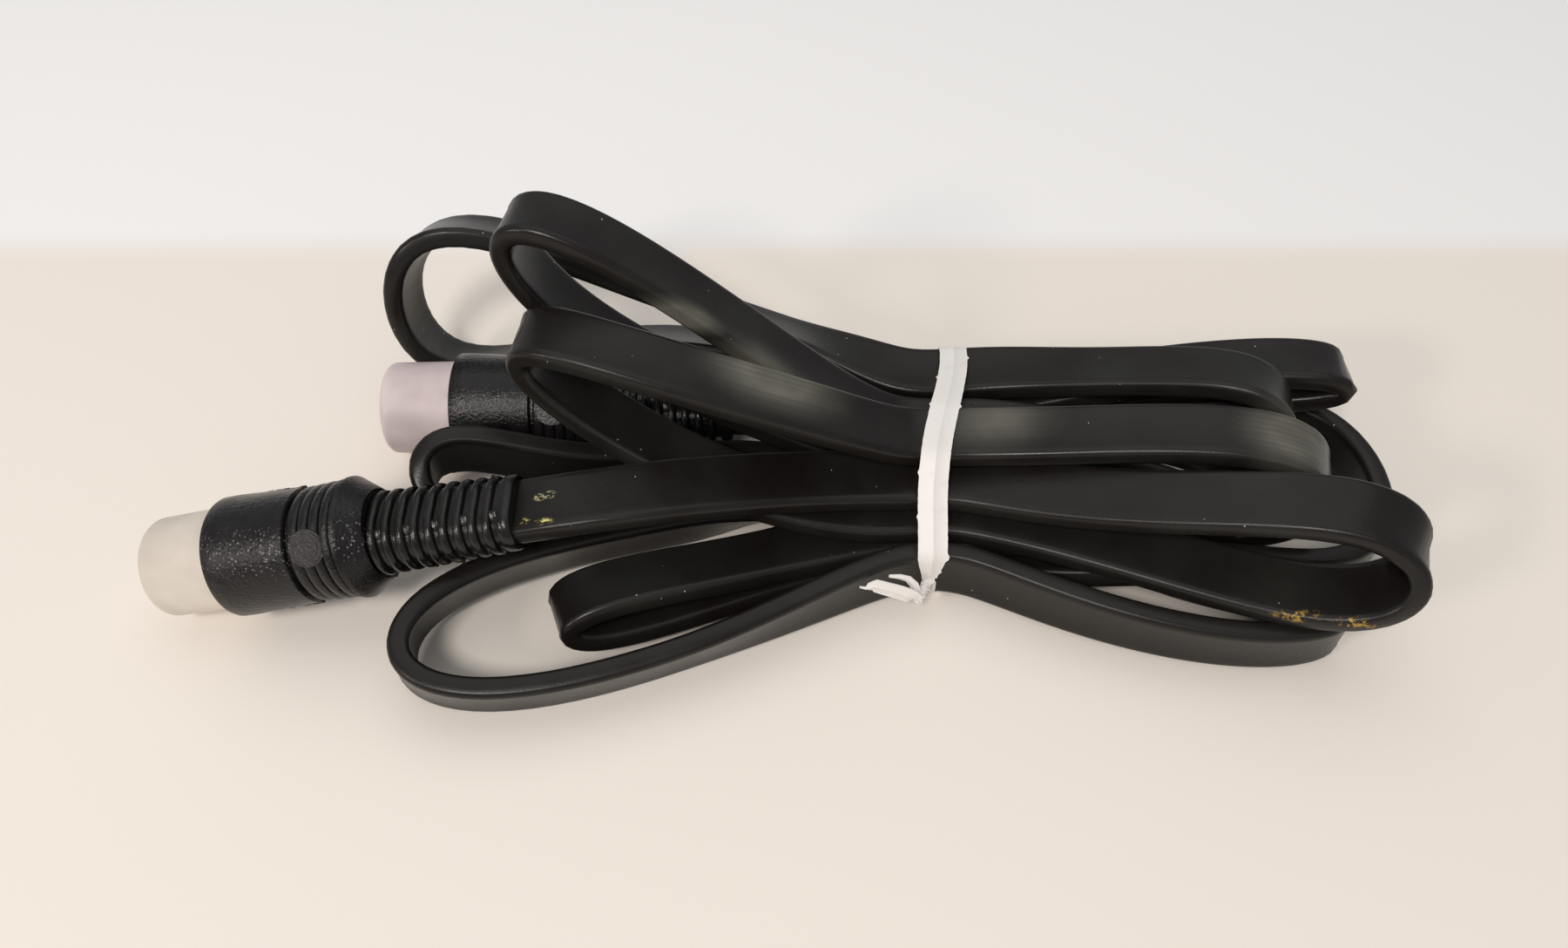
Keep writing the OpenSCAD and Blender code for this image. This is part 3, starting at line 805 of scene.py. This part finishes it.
@dataclass
class FlatCable:
    """The flat cable: its section, its route through the hank, and its mesh."""

    plug_a: PlugPose
    plug_b: PlugPose
    width: float = 9.6
    thick: float = 3.1
    corner: float = 0.9
    dish: float = 0.12
    column_pitch: float = 10.4
    row_pitch: float = 3.75
    waist_half: float = 3.0
    waist_y: float = 2.0
    top_shift: float = 2.8
    floor_gap: float = 0.4
    edge_gap: float = 0.6
    crown_shift: float = 2.5
    shoulder: Pair = (1.2, 2.0)
    outline_points: int = 20
    loop_steps: int = 69
    run_steps: int = 48
    steps_inside: int = 4
    ring_step: float = 0.85
    easing: int = 21
    ease_from: float = 9.0
    ease_to: float = 17.0
    jacket_end: float = 25.8
    first_slot: Slot = near(4)
    last_slot: Slot = far(2)

    def slot_place(self, slot: Slot) -> Vector:
        """Where a run lies under the tie.

        Args:
            slot: The run's slot.

        Returns:
            Its middle, as y and z in a vector.
        """
        height = self.thick / 2 + self.floor_gap + (slot.row - 1) * self.row_pitch
        if slot.column is Column.EDGE:
            front = self.waist_y - self.column_pitch - self.width / 2 - self.thick / 2 - self.edge_gap
            return Vector((0.0, front, self.width / 2 + self.floor_gap))
        if slot == CROWN_RUN:
            return Vector((0.0, self.waist_y - self.crown_shift, height))
        shift = self.top_shift if slot.row == 4 else 0.0
        return Vector((0.0, self.waist_y + slot.column.value * self.column_pitch + shift, height))

    def slot_width(self, slot: Slot) -> Vector:
        """The way that the cable's width lies in a run under the tie."""
        return Vector((0.0, 0.0, 1.0)) if slot.column is Column.EDGE else Vector((0.0, 1.0, 0.0))

    def loop_rings(self, loop: Loop) -> Rings:
        """Works out the rings of one loop.

        Args:
            loop: The loop.

        Returns:
            Each ring's centre, the way of the cable's width, and None.
        """
        a, b = self.slot_place(loop.leaves), self.slot_place(loop.joins)
        start, half = (a + b) / 2, (a - b) / 2
        run = loop.reach - self.waist_half
        tilt, spin = math.radians(loop.tilt), math.radians(loop.spin)
        across = Vector((0.0, math.cos(tilt), math.sin(tilt)))
        bight = Vector((0.0, loop.bight[0], loop.bight[1]))
        rise = (bight - start) * (1 + 2 * loop.ease) / (1 + loop.ease)
        axis = Vector((loop.side.value * run, rise.y, rise.z)).normalized()
        plain = across.cross(axis).normalized()
        upright = -plain if plain.y + 0.3 * plain.z < 0 else plain
        face = upright * math.cos(spin) + axis.cross(upright) * math.sin(spin)
        sharp = (loop.belly - 0.5) / (1 - loop.belly)
        widest = 2 * loop.belly ** (sharp + 0.5) * math.sqrt(1 - loop.belly)
        way = -1 if half.dot(across) < 0 else 1
        rings: Rings = []
        for step in range(self.loop_steps + 1):
            turn = 2 * math.pi * step / self.loop_steps
            s = (1 - math.cos(turn)) / 2
            out = way * loop.girth / 2 * math.sin(turn) * s**sharp / widest
            drift = s * s * (1 + loop.ease) / (s + loop.ease)
            leg = 1 if turn < math.pi else -1
            keep = (1 - smooth(s)) * leg
            centre = start * (1 - drift) + bight * drift + half * keep
            centre.y += loop.swing * 4 * s * (1 - s)
            centre.x = loop.side.value * (self.waist_half + run * s)
            first = self.slot_width(loop.leaves if leg == 1 else loop.joins)
            first = -first if first.dot(face) < 0 else first
            mix = smooth(s / loop.twist)
            rings.append((centre + out * across, first * (1 - mix) + face * mix, None))
        return rings

    def run_rings(self, slot: Slot, plug: PlugPose) -> Rings:
        """Works out the rings of the free run from the tie to a plug, and on into the plug.

        Args:
            slot: The run's slot under the tie.
            plug: The plug that it ends in.

        Returns:
            Each ring's centre, the way of the cable's width, and its heading inside the plug.
        """
        place, into, to = self.slot_place(slot), plug.nose(), Vector(plug.exit)
        start = Vector((-self.waist_half, place.y, place.z))
        pull = 0.4 * (to - start).length
        handle_a, handle_b = start - Vector((pull, 0, 0)), to - pull * into
        turn = math.radians(plug.turn)
        level = Vector((math.sin(turn), -math.cos(turn), 0.0))
        rings: Rings = []
        for step in range(self.run_steps):
            t = step / self.run_steps
            u = 1 - t
            centre = u**3 * start + 3 * u * u * t * handle_a + 3 * u * t * t * handle_b + t**3 * to
            rings.append((centre, Vector((0.0, 1.0, 0.0)), None))
        for step in range(self.steps_inside + 1):
            rings.append((to + self.jacket_end * step / self.steps_inside * into, level, into))
        return rings

    def eased(self, path: Rings) -> Rings:
        """Spaces the rings of the hank evenly, and rounds off the bends beside the tie.

        Args:
            path: All rings from plug to plug, with those inside the plugs at its ends.

        Returns:
            The new rings.
        """
        first = next(i for i, (_, _, into) in enumerate(path) if into is None)
        last = max(i for i, (_, _, into) in enumerate(path) if into is None)
        span = path[first - 1 : last + 2]
        way = [0.0]
        for (before, _, _), (after, _, _) in zip(span, span[1:]):
            way.append(way[-1] + (after - before).length)
        count = int(way[-1] / self.ring_step)
        centres, wides = [], []
        k = 0
        for step in range(count + 1):
            along = way[-1] * step / count
            while k < len(span) - 2 and way[k + 1] < along:
                k += 1
            t = (along - way[k]) / max(way[k + 1] - way[k], 1e-6)
            wide, ahead = span[k][1], span[k + 1][1]
            ahead = -ahead if ahead.dot(wide) < 0 else ahead
            centres.append(span[k][0].lerp(span[k + 1][0], t))
            wides.append(wide.lerp(ahead, t))
            if step and wides[-1].dot(wides[-2]) < 0:
                wides[-1] = -wides[-1]
        for _ in range(self.easing):
            before, turned = list(centres), list(wides)
            for i in range(1, count):
                beside = 1 - smooth((abs(before[i].x) - self.ease_from) / (self.ease_to - self.ease_from))
                middle = (before[i - 1] + before[i + 1]) / 2
                centres[i] = before[i].lerp(middle, 0.5 * beside)
                wides[i] = turned[i].lerp((turned[i - 1] + turned[i + 1]) / 2, 0.5 * beside)
        eased = [(centre, wide, None) for centre, wide in zip(centres[1:-1], wides[1:-1])]
        return path[:first] + eased + path[last + 1 :]

    def frames(self) -> list[tuple[Vector, Vector, Vector]]:
        """Squares the rings of the whole route.

        Returns:
            Each ring's centre, the way of its width and the way of its thickness.
        """
        start = self.run_rings(self.first_slot, self.plug_a)[::-1]
        path = [(c, w, -into if into else None) for c, w, into in start]
        for loop in LOOPS:
            path += self.loop_rings(loop)
        path += self.run_rings(self.last_slot, self.plug_b)
        path = self.eased(path)
        made: list[tuple[Vector, Vector, Vector]] = []
        for i, (centre, wide, into) in enumerate(path):
            heading = into or (path[min(i + 1, len(path) - 1)][0] - path[max(i - 1, 0)][0])
            heading = heading.normalized()
            wide = (wide - wide.dot(heading) * heading).normalized()
            if made and wide.dot(made[-1][1]) < 0:
                wide = -wide
            made.append((centre, wide, heading.cross(wide)))
        return made

    def section(self) -> Outline:
        """The jacket's outline: rounded edges, and faces that dip a little between them.

        Returns:
            Places across and through the cable, in order.
        """
        outline = rounded_outline(self.width, self.thick, self.corner, self.outline_points)
        dipped: Outline = []
        shoulders = [self.width / 2 - inset for inset in self.shoulder]
        for k, (across, up) in enumerate(outline):
            dipped.append((across, up))
            after = outline[(k + 1) % len(outline)]
            if across * after[0] < 0:
                way = math.copysign(1, across)
                level = math.copysign(self.thick / 2, up)
                low = math.copysign(self.thick / 2 - self.dish, up)
                dipped += [
                    (way * shoulders[0], level), (way * shoulders[1], low),
                    (-way * shoulders[1], low), (-way * shoulders[0], level),
                ]
        return dipped

    def build(self) -> Piece:
        """Builds the jacket.

        Returns:
            The finished piece.
        """
        frames, section = self.frames(), self.section()
        loft = Loft([[stood(c + p[0] * wide + p[1] * thick) for p in section] for c, wide, thick in frames])
        bm = loft.closed()
        along, around = [0.0], [0.0]
        for (before, _, _), (after, _, _) in zip(frames, frames[1:]):
            along.append(along[-1] + (after - before).length)
        for p, q in zip(section, section[1:] + section[:1]):
            around.append(around[-1] + math.dist(p, q))
        loft.lay_map(along, around, ROUTE_MAP)
        cable = finished("Flat_cable", bm, Matrix.Translation(MIDDLE), JACKET, crease=50)
        log.info("the cable is %.0f mm long", along[-1])
        self.centres = [tuple((MIDDLE + centre) * MM) for centre, _, _ in frames]
        self.length = along[-1] * MM
        return settle(cable, "cable", "cable_jacket", "flat_cable")


# ---------------------------------------------------------------- the twist tie


def tail(*places: tuple[float, float, float, float]) -> list[tuple[Vector, Vector, float]]:
    """A tail of the tie, from x, y, z and width at each place, with its face to the front."""
    return [(Vector((x, y, z)), Vector((0.0, -1.0, 0.15)), width) for x, y, z, width in places]


@dataclass
class TwistTie:
    """The tie: one film strip over a wire, round the waist, twisted in front, with two tails."""

    BROAD = tail(
        (-11.2, -20.5, 7.6, 0.15), (-10.3, -20.5, 7.2, 0.5), (-9.6, -20.6, 7.75, 1.7),
        (-9.0, -20.6, 8.0, 2.5), (-7.4, -20.7, 7.35, 2.6), (-5.8, -20.8, 6.7, 2.7),
        (-4.4, -20.9, 6.05, 2.8), (-3.5, -20.9, 5.5, 2.6), (-2.9, -20.7, 4.95, 2.1),
    )
    THIN = tail(
        (-2.9, -20.2, 5.6, 1.5), (-3.3, -19.7, 6.9, 1.3), (-4.2, -19.4, 7.9, 1.1),
        (-5.4, -19.3, 8.3, 0.9), (-7.0, -19.3, 8.5, 0.4),
    )

    cable: FlatCable
    width: float = 4.25
    film: float = 0.16
    wire: float = 0.42
    play: float = 0.3
    spurs: float = 0.04
    waver: float = 0.03
    film_step: float = 0.5
    easing: int = 5
    neck_steps: int = 12
    root: Triple = (-0.7, -17.6, 4.4)
    tip: Triple = (-2.6, -20.5, 4.6)

    def hull(self) -> list[Vector]:
        """The outline of all runs under the tie.

        Returns:
            Its corners in order round the bundle, as vectors with y and z.
        """
        slots = [EDGE_RUN, CROWN_RUN] + [
            Slot(column, row) for column in (Column.NEAR, Column.MID, Column.FAR) for row in range(1, 5)
        ]
        corners = []
        for slot in slots:
            place, wide = self.cable.slot_place(slot), self.cable.slot_width(slot)
            through = Vector((0.0, wide.z, wide.y))
            for a in (-0.5, 0.5):
                for b in (-0.5, 0.5):
                    corners.append(place + a * self.cable.width * wide + b * self.cable.thick * through)
        order = convex_hull_2d([(c.y, c.z) for c in corners])
        return [corners[k] for k in order]

    def shift(self, y: float) -> float:
        """How far the band leans along the cable at a place across the bundle."""
        return -0.7 + 5.4 * smooth((y + 11) / 31)

    def girdle(self) -> list[tuple[Vector, Vector]]:
        """The band's path round the bundle, from the neck up over the top and back to the neck.

        Returns:
            Places, and the way out of the bundle there.
        """
        corners = self.hull()
        away = self.play + self.film / 2
        walk: list[tuple[Vector, Vector]] = []
        for k, here in enumerate(corners):
            before, after = corners[k - 1], corners[(k + 1) % len(corners)]
            first, second = here - before, after - here
            n1 = Vector((0.0, first.z, -first.y)).normalized()
            n2 = Vector((0.0, second.z, -second.y)).normalized()
            walk.append((here + (n1 + n2).normalized() * away, (n1 + n2).normalized()))
            steps = max(2, int(second.length / self.film_step))
            for step in range(1, steps):
                walk.append((here + second * step / steps + n2 * away, n2))
        # Film doesn't fold sharply: its bends are spread over a millimetre or two
        for _ in range(self.easing):
            walk = [
                ((walk[k - 1][0] + 2 * place + walk[(k + 1) % len(walk)][0]) / 4,
                 (walk[k - 1][1] + 2 * out + walk[(k + 1) % len(walk)][1]).normalized())
                for k, (place, out) in enumerate(walk)
            ]
        # From here on it goes up in front, over the top to the back, and along the floor to the front
        walk = walk[::-1]
        front = min(p.y for p, _ in walk)
        begin = min(
            range(len(walk)),
            key=lambda k: abs(walk[k][0].y - front) * 5 + abs(walk[k][0].z - self.root[2]),
        )
        return walk[begin:] + walk[:begin]

    def path(self) -> list[tuple[Vector, Vector, float]]:
        """The strip's whole path, from one tail's end to the other's.

        Returns:
            Places, the way of the strip's face, and its width there.
        """
        made = list(self.BROAD)
        neck = [step / self.neck_steps for step in range(self.neck_steps + 1)]
        made += [self.strand(1 - t, math.pi / 2) for t in neck]
        for place, out in self.girdle():
            lean, width = self.shift(place.y), self.width
            if out.y < -0.9:
                # In front, the band narrows towards the neck
                lean, width = -0.75, min(self.width, 2.2 + 0.45 * max(place.z - 5.2, 0.0))
            made.append((Vector((lean, place.y, place.z)), out, width))
        made += [self.strand(t, -math.pi / 2) for t in neck]
        return made + list(self.THIN)

    def strand(self, t: float, phase: float) -> tuple[Vector, Vector, float]:
        """A place on one strand of the twisted neck.

        Args:
            t: How far it is from the bundle to the tails.
            phase: Where the strand starts round the neck, in radians.

        Returns:
            The place, the way of the strand's face, and its width.
        """
        angle = phase + 2 * math.pi * 1.25 * t
        out = Vector((math.cos(angle), 0.0, math.sin(angle)))
        centre = Vector(self.root).lerp(Vector(self.tip), t)
        return centre + 0.5 * out, out, 1.8 + 0.4 * math.sin(9 * t)

    def build(self) -> Piece:
        """Builds the strip.

        Returns:
            The finished piece.
        """
        chance = random.Random(7)
        path = self.path()
        rings = []
        for k, (place, face, width) in enumerate(path):
            ahead = (path[min(k + 1, len(path) - 1)][0] - path[max(k - 1, 0)][0]).normalized()
            out = (face - face.dot(ahead) * ahead).normalized()
            wide = ahead.cross(out)
            # The film was cut by hand: its edges waver, with a spur here and there
            left = width / 2 + chance.uniform(-self.waver, self.waver)
            right = width / 2 + chance.uniform(-self.waver, self.waver)
            right += 0.3 if chance.random() < self.spurs else 0.0
            left += 0.22 if chance.random() < self.spurs else 0.0
            core = min(self.wire, 0.35 * width)
            half = self.film / 2
            outline = [
                (-left, half), (-core, half + 0.02), (-core * 0.5, half + 0.16), (0.0, half + 0.22),
                (core * 0.5, half + 0.16), (core, half + 0.02), (right, half),
                (right, -half), (0.0, -half), (-left, -half),
            ]
            rings.append([stood(place + a * wide + b * out) for a, b in outline])
        tie = finished("Twist_tie", Loft(rings).closed(), Matrix.Translation(MIDDLE), TIE_FILM, crease=55)
        return settle(tie, "cable", "tie", "tie_band", "tie_tails")


# ---------------------------------------------------------------- the plugs


@dataclass
class Plug:
    """A moulded plug: its boot, hood, metal parts and dust cap."""

    # Where the mould's halves met, on both sides of the plug
    PARTING = (math.radians(-40), math.radians(140))
    # Radius and height of each step of the hood's pad, which make its dome
    PAD = ((2.7, 1.5), (2.35, 1.66), (1.8, 1.76), (0.9, 1.82))

    pose: PlugPose
    cable: FlatCable
    cap_finish: Finish
    boot_len: float = 20.2
    boot_width: Pair = (12.4, 11.6)
    boot_height: Pair = (10.4, 7.4)
    collar: float = 1.8
    ribs: int = 9
    rib_rows: int = 9
    rib_share: float = 0.62
    groove: float = 0.68
    bridge: Pair = (1.5, 1.7)
    bridge_turn: float = 50.0
    spigot: float = 1.2
    cavity: float = 5.65
    hood_len: float = 23.0
    cone: float = 6.6
    flare: float = 8.6
    flare_from: float = 3.2
    ribs_after: float = 0.55
    rib_step: float = 1.6
    rib_rise: float = 0.55
    barrel: float = 8.15
    pad_turn: float = 48.0
    hood_d: float = 17.2
    skirt_d: float = 13.2
    skirt_in: float = 9.5
    hood_ribs: int = 4
    ring_rows: int = 10
    cap_d: float = 14.6
    cap_len: float = 11.0
    cap_end: float = 1.1

    @property
    def hood_front(self) -> float:
        """The station of the hood's front face."""
        return self.boot_len + self.hood_len

    def taper(self, ends: Pair, station: float) -> float:
        """A size of the boot at a station."""
        return ends[1] + (ends[0] - ends[1]) * station / self.boot_len

    def boot_ring(self, station: float, inset: float) -> list[Vector]:
        """The boot's outline at a station.

        Args:
            station: The place along the plug.
            inset: How far the outline is drawn in.

        Returns:
            Its points in order.
        """
        width = self.taper(self.boot_width, station) - 2 * inset
        height = self.taper(self.boot_height, station) - 2 * inset
        outline = rounded_outline(width, height, height / 2, BOOT_FACETS)
        return [Vector((station, a, b)) for a, b in outline]

    def boot(self) -> Piece:
        """Builds the strain relief boot.

        Returns:
            The finished piece.
        """
        play = 0.04
        slot = rounded_outline(
            self.cable.width + 2 * play, self.cable.thick + 2 * play, self.cable.corner, BOOT_FACETS
        )
        spigot = rounded_outline(2 * self.cavity, 2 * self.cavity, self.cavity, BOOT_FACETS)
        back = self.boot_len + self.spigot
        rings = [[Vector((station, a, b)) for a, b in slot] for station in (back, 0.0)]
        for station, inset in ((0.0, 0.35), (0.25, 0.12), (1.5, 0.1), (self.collar, 0.3)):
            rings.append(self.boot_ring(station, inset))
        pitch = (self.boot_len - self.collar) / self.ribs
        rib = pitch * self.rib_share
        for k in range(self.ribs):
            start = self.collar + k * pitch
            rise = start + pitch - rib
            rings += [self.boot_ring(station, self.groove) for station in (start + 0.05, rise - 0.05)]
            for row in range(self.rib_rows):
                angle = math.pi * (row + 0.5) / self.rib_rows
                station = rise + rib * (1 - math.cos(angle)) / 2
                rings.append(self.boot_ring(station, self.groove * (1 - math.sin(angle) ** 0.6)))
        rings += [[Vector((station, a, b)) for a, b in spigot] for station in (self.boot_len, back)]
        bm = Loft(rings).joined()
        chance = random.Random(11)
        for k in range(self.ribs):
            start = self.collar + k * pitch
            radius = (self.taper(self.boot_width, start) + self.taper(self.boot_height, start)) / 4
            # Two bridges span each groove, a quarter turn on from the last groove's
            turn = math.radians(self.bridge_turn + 90 * (k % 2))
            for side in (0.0, math.pi):
                place = outward(start + (pitch - rib) / 2, turn + side, radius - 1.1)
                soft_block(bm, (pitch - rib + 0.6, *self.bridge), place, 0.35, 3)
            # A flake of flash on each side of the rib
            for side in self.PARTING:
                tall = chance.choice((0.12, 0.2, 0.3, 0.55))
                station = start + pitch - rib * 0.5 + chance.uniform(-0.2, 0.2)
                lean = Matrix.Rotation(chance.uniform(-0.4, 0.4), 4, "Z")
                place = outward(station, side, radius - 0.3 + tall / 2) @ lean
                soft_block(bm, (0.6, 1.0 + tall, 0.25), place, 0.1, 1)
        key = self.pose.key
        piece = finished(f"Boot_{key}", bm, self.pose.matrix(), BOOT_VINYL, crease=45)
        return settle(piece, "cable", "moulding", f"boot_{key}")

    def hood(self) -> Piece:
        """Builds the moulded hood.

        Returns:
            The finished piece.
        """
        barrel_front = self.hood_d / 2
        flare_at = self.boot_len + self.flare_from
        ribs_from = flare_at + self.ribs_after
        front, foot = self.hood_front, self.barrel - self.rib_rise
        wall = [
            (self.cavity, self.boot_len), (self.cone - 0.25, self.boot_len),
            (self.cone, self.boot_len + 0.25), (7.3, self.boot_len + 1.3), (8.25, flare_at - 0.5),
            (self.flare, flare_at - 0.05), (self.flare, flare_at + 0.3),
            (self.flare - 0.3, flare_at + 0.55), (foot, ribs_from),
        ]
        for rib in range(self.hood_ribs):
            # The ribs grow a little towards the flare
            rise = self.rib_rise + 0.3 * (self.hood_ribs - 1 - rib) / self.hood_ribs
            for row in range(1, self.ring_rows):
                angle = math.pi * row / self.ring_rows
                station = ribs_from + rib * self.rib_step + self.rib_step * (1 - math.cos(angle)) / 2
                wall.append((foot + rise * math.sin(angle) ** 0.7, station))
            wall.append((foot, ribs_from + (rib + 1) * self.rib_step))
        end = ribs_from + self.hood_ribs * self.rib_step
        seat = self.skirt_d / 2 + 0.04
        wall += [
            (foot - 0.25, end + 0.1), (foot - 0.25, end + 0.5), (self.barrel - 0.1, end + 0.6),
            (self.barrel + 0.05, end + 0.75), (barrel_front, front - 2.2), (barrel_front, front - 0.5),
            (barrel_front - 0.15, front - 0.15), (barrel_front - 0.5, front), (seat, front),
            (seat, front - self.skirt_in), (self.cavity, front - self.skirt_in),
        ]
        bm = spun(wall)
        # A plain round pad over the ribs, a little domed
        pad_at = ribs_from + self.hood_ribs * self.rib_step / 2 + 0.3
        flat = Matrix.Rotation(math.radians(-90), 4, "X")
        place = outward(pad_at, math.radians(self.pad_turn), self.barrel - 0.75) @ flat
        for radius, height in self.PAD:
            made = bmesh.ops.create_cone(
                bm, cap_ends=True, segments=40, radius1=radius, radius2=radius - 0.12, depth=height
            )["verts"]
            bmesh.ops.transform(bm, matrix=place, verts=made)
        # A low ragged line of flash where the mould's halves met
        chance = random.Random(5)
        for side in self.PARTING:
            for step in range(7):
                station = end + 0.9 + 0.8 * step + chance.uniform(-0.15, 0.15)
                radius = self.barrel + 0.05 + (barrel_front - self.barrel) * (station - end) / (front - end)
                tall = chance.uniform(0.02, 0.2) * (1 - step / 9)
                place = outward(station, side + chance.uniform(-0.02, 0.02), radius + tall - 0.3)
                soft_block(bm, (1.1, 0.6, 0.3), place, 0.14, 1)
        key = self.pose.key
        piece = finished(f"Hood_{key}", bm, self.pose.matrix(), HOOD_VINYL, crease=42)
        return settle(piece, "cable", "moulding", f"hood_{key}")

    def dust_cap(self) -> Piece:
        """Builds the push-on dust cap.

        Returns:
            The finished piece.
        """
        outer, inner = self.cap_d / 2, self.skirt_d / 2 + 0.1
        rim = self.hood_front + 0.05
        closed = rim + self.cap_len
        nose, draft = 1.3, 0.15
        wall = [
            (inner + 0.12, rim), (outer - 0.1, rim), (outer + 0.04, rim + 0.12), (outer + 0.04, rim + 0.9),
            (outer, rim + 1.05), (outer - draft, closed - nose),
        ]
        for step in range(1, 8):
            angle = math.pi / 2 * step / 8
            drawn_in = draft + nose * (1 - math.cos(angle))
            wall.append((outer - drawn_in, closed - nose + nose * math.sin(angle)))
        ceiling = closed - self.cap_end
        wall += [
            (outer - draft - nose, closed), (3.0, closed), (2.7, closed - 0.12), (1.0, closed - 0.12),
            (0.8, closed - 0.02), (0.0, closed - 0.02), (0.0, ceiling), (inner - 0.6, ceiling),
            (inner, ceiling - 0.6), (inner, rim + 0.3),
        ]
        key = self.pose.key
        piece = finished(f"Dust_cap_{key}", spun(wall), self.pose.matrix(), self.cap_finish, crease=40)
        return settle(piece, f"cap_{key}", "dust_cap", f"dust_cap_{key}")

    def dress_metalwork(self, finishes: dict[str, bpy.types.Material]) -> None:
        """Gives the CAD nodes inside the plug their finishes.

        Args:
            finishes: Materials by the start of the nodes' names.
        """
        for name, material in finishes.items():
            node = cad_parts[f"{name}_{self.pose.key}"]
            node.data.materials.clear()
            node.data.materials.append(material)
            log.info("%s: dressed in %s", node.name, material.name)


# ---------------------------------------------------------------- floor, lamps and camera


@dataclass
class Studio:
    """The pale floor, the soft lamps and the camera."""

    # Name, place and size in metres, power in watts and tint of each lamp, which all face the middle
    LAMPS = [
        ("Window", (-0.2, -0.55, 0.81), (0.26, 0.2), 4.5, "#fff9f3"),
        ("Side_window", (-0.66, -0.52, 0.5), (0.16, 0.12), 1.7, "#fff4ee"),
        ("Ceiling", (0.0, 0.35, 0.95), (1.0, 1.0), 2.2, "#fffdf8"),
    ]

    floor_colour: str = "#f3ece3"
    far_colour: str = "#fafafa"
    # The floor turns paler between these places, in metres towards the back
    far_from: float = 0.058
    far_to: float = 0.066
    sky_colour: str = "#f4f5f8"
    sky: float = 0.36
    camera_at: Triple = (-0.3, -115.2, 154.6)
    camera_down: float = 51.7
    lens: float = 28.04

    def floor(self) -> Piece:
        """Lays the floor, which is paler at the back.

        Returns:
            The floor.
        """
        bm = bmesh.new()
        bmesh.ops.create_grid(bm, x_segments=1, y_segments=1, size=3.0)
        mesh = bpy.data.meshes.new("Floor")
        bm.to_mesh(mesh)
        bm.free()
        material = bpy.data.materials.new("Pale_cloth")
        material.use_nodes = True
        tree = material.node_tree
        shader = tree.nodes["Principled BSDF"]
        shader.inputs["Roughness"].default_value = 0.9
        shader.inputs["Specular IOR Level"].default_value = 0.1
        axes = add_node(tree, "SeparateXYZ", in_0=Surface(tree).place)
        back = add_node(tree, "MapRange", in_0=axes.outputs[1], in_1=self.far_from, in_2=self.far_to)
        colour = add_node(
            tree, "Mix", {"data_type": "RGBA"}, in_0=back.outputs[0],
            in_6=linear(self.floor_colour), in_7=linear(self.far_colour),
        )
        tree.links.new(colour.outputs[2], shader.inputs["Base Color"])
        mesh.materials.append(material)
        floor = added("Floor", mesh)
        return floor

    def light(self) -> None:
        """Lights the world and hangs the lamps."""
        world = bpy.data.worlds.new("Studio")
        world.use_nodes = True
        background = world.node_tree.nodes["Background"]
        background.inputs["Color"].default_value = linear(self.sky_colour)
        background.inputs["Strength"].default_value = self.sky
        bpy.context.scene.world = world
        for name, at, size, power, tint in self.LAMPS:
            light = bpy.data.lights.new(name, "AREA")
            light.shape, light.energy = "RECTANGLE", power
            light.size, light.size_y = size
            light.color = linear(tint)[:3]
            lamp = added(name, light)
            lamp.location = at
            lamp.rotation_euler = (Vector() - Vector(at)).to_track_quat("-Z", "Y").to_euler()

    def camera(self) -> None:
        """Places the camera."""
        data = bpy.data.cameras.new("Camera")
        data.sensor_width, data.lens = 36.0, self.lens
        data.clip_start, data.clip_end = 0.01, 20.0
        camera = added("Camera", data)
        camera.location = Vector(self.camera_at) * MM
        camera.rotation_euler = (math.radians(90 - self.camera_down), 0.0, 0.0)
        bpy.context.scene.camera = camera
        bpy.context.scene.view_settings.view_transform = "Standard"


def main() -> None:
    """Builds the cable, its tie and its plugs, and dresses what the frame brings."""
    logging.basicConfig(level=logging.INFO, format="%(message)s")
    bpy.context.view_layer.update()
    studio = Studio()
    studio.camera()
    plug_a = PlugPose("a", (-58.1, -16.5, 20.2), 13.2, 0.9)
    plug_b = PlugPose("b", (-30.0, 12.4, 8.9), 0.0, 0.0)
    cable = FlatCable(plug_a, plug_b)
    jacket = cable.build()
    TwistTie(cable).build()
    metal = {
        "skirt": SKIRT_METAL, "inner_shells": SHELL_METAL, "pins": PIN_METAL, "crimp": CRIMP_METAL,
        "insulator": INSULATOR_BODY, "cores": CORE_COVER,
    }
    materials = {name: finish.material() for name, finish in metal.items()}
    for pose, cap in ((plug_a, CAP_A), (plug_b, CAP_B)):
        plug = Plug(pose, cable, cap)
        pieces = [plug.boot(), plug.hood(), plug.dust_cap()]
        plug.dress_metalwork(materials)
    studio.floor()
    studio.light()


if __name__ == "__main__":
    main()
